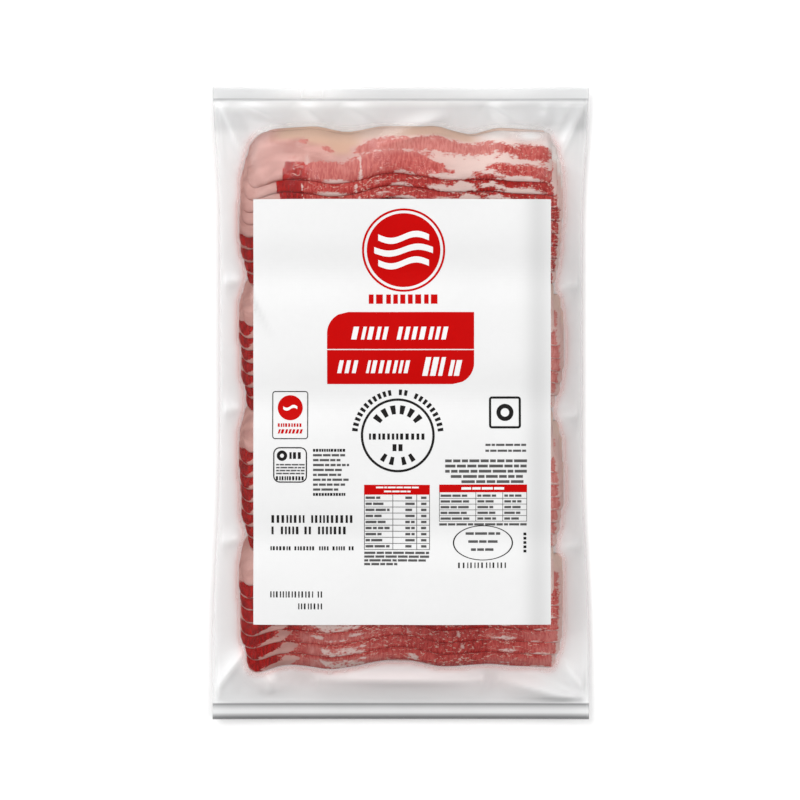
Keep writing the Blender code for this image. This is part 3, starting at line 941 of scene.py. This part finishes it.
# Red panel in two halves, each with one corner rounded off, and rows of leaning white blocks
panel_left = 55.4
panel_right = 165.5
panel_corner = 16.0
for upper, y0, y1 in ((True, 84.6, 112.3), (False, 113.1, 138.6)):
    rows = np.linspace(y0, y1, 16)
    near = np.clip(panel_corner - (rows - y0 if upper else y1 - rows), 0.0, panel_corner)
    cut = panel_corner - np.sqrt(panel_corner ** 2 - near ** 2)
    left = panel_left + cut * upper
    right = panel_right - cut * (not upper)
    share = np.linspace(0.0, 1.0, 20)
    patch("red", left[:, None] + (right - left)[:, None] * share, rows[:, None] + 0.0 * share)
lean_right = 0.21
for x0, y0, x1, y1, letters, fill in (
    (73.4, 95.6, 102.0, 105.2, 5, 0.55), (107.4, 95.6, 147.0, 105.2, 7, 0.55),
    (62.9, 120.8, 79.2, 130.4, 3, 0.55), (84.4, 120.8, 118.0, 130.4, 7, 0.55),
    (126.6, 118.4, 143.0, 132.4, 3, 0.68), (146.0, 120.6, 156.0, 132.4, 2, 0.68),
):
    word("white", x0, y0, x1, y1, letters, lean_right, fill)

# Round stamp: a black ring with blocks over its top and in rows inside it
stamp = (108.3, 177.0)


def stamp_block(inner, outer, middle, half):
    band_round("black", stamp, inner, outer, middle - half, middle + half)


band_round("black", stamp, 25.9, 27.7)
for n in range(24):
    if n not in (11, 14):
        stamp_block(30.2, 34.4, 184.0 + 172.0 * (n + 0.5) / 24, 2.0)
for n in range(6):
    stamp_block(16.0, 22.6, 210.0 + 120.0 * (n + 0.5) / 6, 5.2)
word("black", 86.8, 175.6, 130.0, 180.2, 12, fill=0.56)
word("black", 104.4, 183.6, 113.4, 188.8, 2, fill=0.66)
for middle in (122.0, 103.0, 77.0, 58.0):
    stamp_block(16.6, 22.6, middle, 4.4)

# Two small badges at the left, and a framed ring at the right
frame_line(14.2, 143.8, 41.2, 179.8, 0.7, 1.6)
band_round("red", (27.7, 156.3), 0.4, 9.4)
block("white", 22.4, 155.2, 33.0, 157.4, bend=1.1)
word("red", 18.4, 168.0, 37.0, 170.6, 9)
word("red", 18.4, 172.4, 37.2, 175.6, 7, 0.3)
frame_line(15.0, 185.8, 40.4, 212.4, 0.9, 4.0)
band_round("black", (21.6, 192.2), 1.5, 3.9)
word("black", 27.2, 189.6, 37.0, 194.6, 3)
for y in (198.4, 200.6, 202.8, 205.0):
    text_line(17.2, y, 38.6, y + 1.1)
word("black", 17.0, 207.6, 38.8, 210.6, 10)
frame_line(176.7, 147.8, 200.7, 171.8, 1.7)
band_round("black", (188.7, 159.8), 3.2, 6.4)

# Small print: a column at the left, lines at the right, two tables, an oval and the lines at the bottom
for n in range(10):
    y = 187.2 + 3.67 * n
    if n in (0, 9):
        word("black", 44.9, y - 0.1, 69.5, y + 2.0, 12, fill=0.75)
    else:
        text_line(44.9, y + 0.1, 71.9 - 3.0 * (n % 3), y + 1.8)
for y in (184.3, 188.7):
    text_line(174.0, y - 1.0, 204.5, y + 0.6)
for n, left in enumerate((143.8, 143.8, 143.8, 148.0, 156.0)):
    text_line(left, 195.0 + 3.9 * n, 205.2, 197.1 + 3.9 * n)
block("red", 83.1, 214.0, 132.3, 221.4)
text_line(92.0, 215.4, 124.0, 216.6, "white")
text_line(98.0, 218.4, 118.0, 219.6, "white")
for n in range(9):
    y = 221.9 + 4.56 * n
    block("grey", 83.1, y + 4.0, 132.3, y + 4.45)
    for left, right in ((84.2, 96.2 + 3.0 * (n % 3)), (114.0, 121.0), (125.8, 129.8)):
        text_line(left, y + 0.9, right, y + 2.7)
for x in (83.1, 104.4, 122.3, 131.9):
    block("grey", x, 221.4, x + 0.45, 262.9)
for n, right in enumerate((131.8, 131.8, 131.8, 108.0)):
    text_line(83.2, 264.2 + 2.8 * n, right, 265.9 + 2.8 * n)
block("red", 139.3, 213.8, 205.2, 219.6)
text_line(156.0, 215.8, 188.0, 217.6, "white")
for n in range(5):
    y = 220.2 + 4.3 * n
    block("grey", 139.3, y + 3.8, 205.2, y + 4.2)
    for left, right in ((140.4, 162.0), (168.0, 182.0), (188.2, 201.0)):
        text_line(left, y + 1.1, right, y + 2.8)
for x in (139.3, 166.6, 186.8, 204.8):
    block("grey", x, 219.6, x + 0.4, 241.6)
text_line(139.4, 242.9, 205.0, 244.6)
band_round("black", (172.2, 257.6), 21.6, 22.6, squash=0.58)
for y, half in ((250.6, 13.0), (256.6, 11.0), (262.6, 9.0)):
    text_line(172.2 - half, y - 0.9, 172.2 + half, y + 1.0)
word("black", 153.5, 272.3, 191.0, 276.4, 13, fill=0.35)
for n in range(5):
    block("black", 202.6, 250.0 + 3.2 * n, 204.8, 252.0 + 3.2 * n)
for x0, y0, x1, y1, letters, fill, gaps in (
    (13.6, 236.8, 76.0, 242.6, 19, 0.52, (8,)), (13.6, 245.4, 71.0, 251.2, 18, 0.52, (1, 7, 10)),
    (12.8, 260.2, 76.2, 263.2, 29, 0.58, (7, 15, 20, 26)), (12.8, 293.8, 53.0, 298.4, 17, 0.42, (14,)),
    (33.8, 302.8, 53.0, 307.2, 8, 0.42, ()),
):
    word("black", x0, y0, x1, y1, letters, fill=fill, gaps=gaps)

for ink, colour, dark in (
    ("red", (0.545, 0.0012, 0.001), (0.49, 0.001, 0.001)),
    ("black", (0.010, 0.009, 0.009), (0.017, 0.016, 0.016)),
    ("grey", (0.085, 0.083, 0.083), (0.105, 0.103, 0.103)),
    ("white", (0.86, 0.86, 0.86), (0.82, 0.82, 0.82)),
):
    name = f"print_{ink}"
    mesh = sheet_solid(name, *inks[ink], ink_thick, paper_finish(f"ink_{ink}", colour, dark, 0.42))
    keep_piece(name, mesh, "label")

# The camera, floor and light.
# The pack lies on a plain white floor, seen from straight above with a long lens, under soft light.
floor = bpy.data.meshes.new("floor")
floor_half = 6.0
floor_level = -0.4 * MM
floor_corners = ((-1, -1), (1, -1), (1, 1), (-1, 1))
floor.from_pydata([(x * floor_half, y * floor_half, floor_level) for x, y in floor_corners],
                  [], [(0, 1, 2, 3)])
floor_white, _, floor_shader = new_material("floor_white")
wire(floor_shader, {"Base Color": (0.96, 0.96, 0.96, 1.0), "Roughness": 0.9,
                    "Emission Color": (1.0, 1.0, 1.0, 1.0), "Emission Strength": 0.08})
floor.materials.append(floor_white)
floor_object = new_object("floor", floor)

photo_width = 0.6056
camera_height = 2.40
camera_data = bpy.data.cameras.new("camera")
camera_data.sensor_width = 36.0
camera_data.lens = camera_data.sensor_width * camera_height / photo_width
camera = new_object("camera", camera_data)
camera.location = (-0.6 * MM, 2.5 * MM, camera_height)
bpy.context.scene.camera = camera

# Even white light from the sides, dimmer from overhead, so that the film's gloss stays soft
world = bpy.data.worlds.new("studio")
world.use_nodes = True
sky = world.node_tree
sky_place = sky.nodes.new("ShaderNodeTexCoord").outputs["Generated"]
sky_height = add_node(sky, "ShaderNodeSeparateXYZ", {0: sky_place}).outputs["Z"]
sky_grey = add_node(sky, "ShaderNodeMapRange", {"Value": sky_height, "To Min": 0.95, "To Max": 0.44})
wire(sky.nodes["Background"], {"Color": sky_grey, "Strength": 1.0})
bpy.context.scene.world = world
bpy.context.scene.view_settings.view_transform = "Standard"


def soft_light(name, place, size, power):
    """A square lamp that faces the middle of the pack."""
    lamp = bpy.data.lights.new(name, "AREA")
    lamp.size = size
    lamp.energy = power
    holder = new_object(name, lamp)
    holder.location = place
    away = -np.array(place) / np.linalg.norm(place)
    holder.rotation_euler = (math.acos(-away[2]), 0.0, math.atan2(away[1], away[0]) - math.pi / 2)


soft_light("key_light", (-2.5, 2.5, 4.0), 3.2, 122.0)
soft_light("fill_light", (2.8, -0.6, 4.2), 3.2, 70.0)
soft_light("back_light", (-0.6, 3.6, 1.0), 1.6, 30.0)
